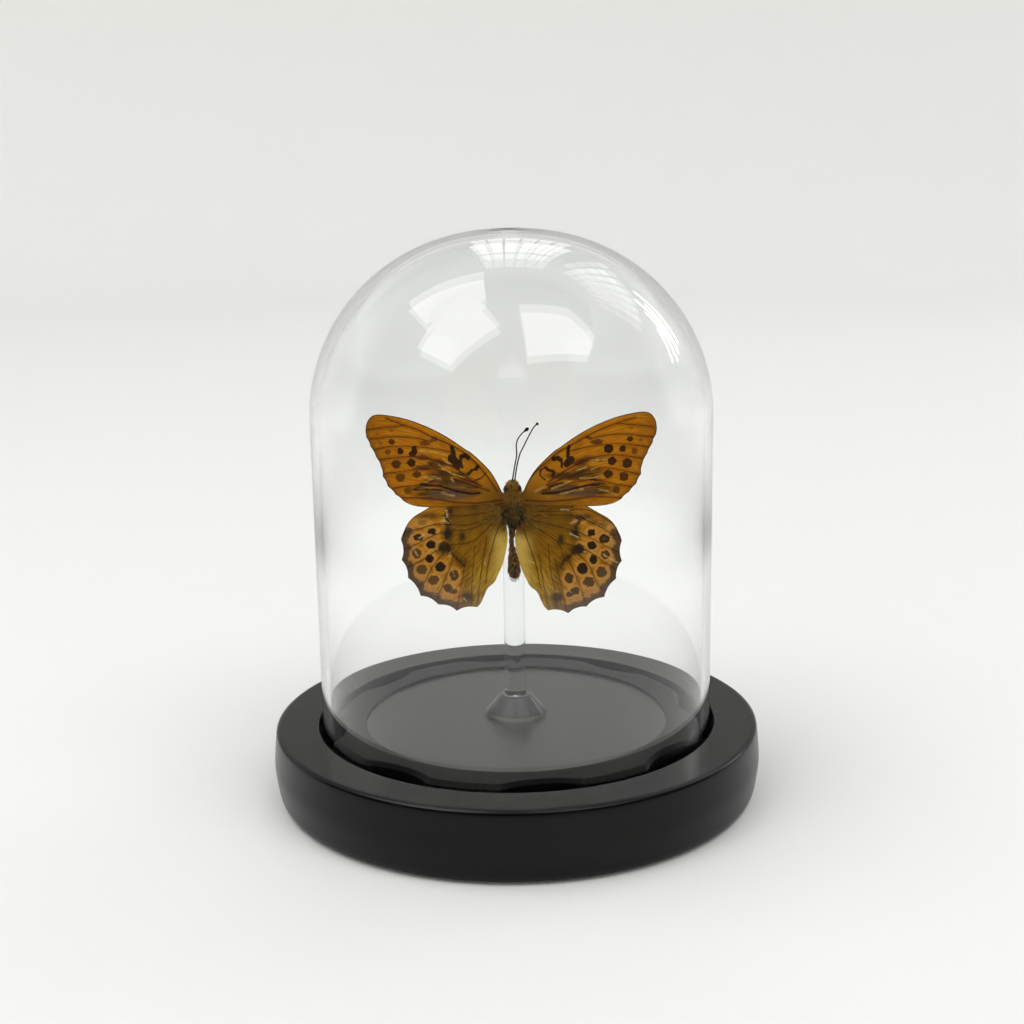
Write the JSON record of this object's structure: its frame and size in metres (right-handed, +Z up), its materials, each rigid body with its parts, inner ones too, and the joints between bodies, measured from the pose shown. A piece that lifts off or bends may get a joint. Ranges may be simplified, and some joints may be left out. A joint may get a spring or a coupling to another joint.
{
  "type": "dried butterfly under a glass dome on a black base",
  "caption": "Spread dried butterfly on a clear rod stand, under a clear glass dome that stands in a turned satin black base.",
  "frame": {"origin": "middle of the base's underside", "axes": "+Z up, the butterfly's upper side faces -Y, its right wings as seen from the front at +X"},
  "size_m": [0.12, 0.12, 0.1374],
  "materials": {
    "base_lacquer": "satin black lacquer on turned wood",
    "inlay_board": "black board with a fine grainy face and a smoother well",
    "dome_glass": "clear blown glass",
    "clear_acrylic": "clear polished acrylic",
    "butterfly_scales": "dried insect: orange-brown scaled wings with dark veins and spots, furry olive body"
  },
  "bodies": {
    "root": {"base": "base_lacquer", "inlay_disc": "inlay_board", "glass_dome": "dome_glass", "rod_foot": "clear_acrylic", "rod": "clear_acrylic", "butterfly": "butterfly_scales"}
  },
  "joints": []
}
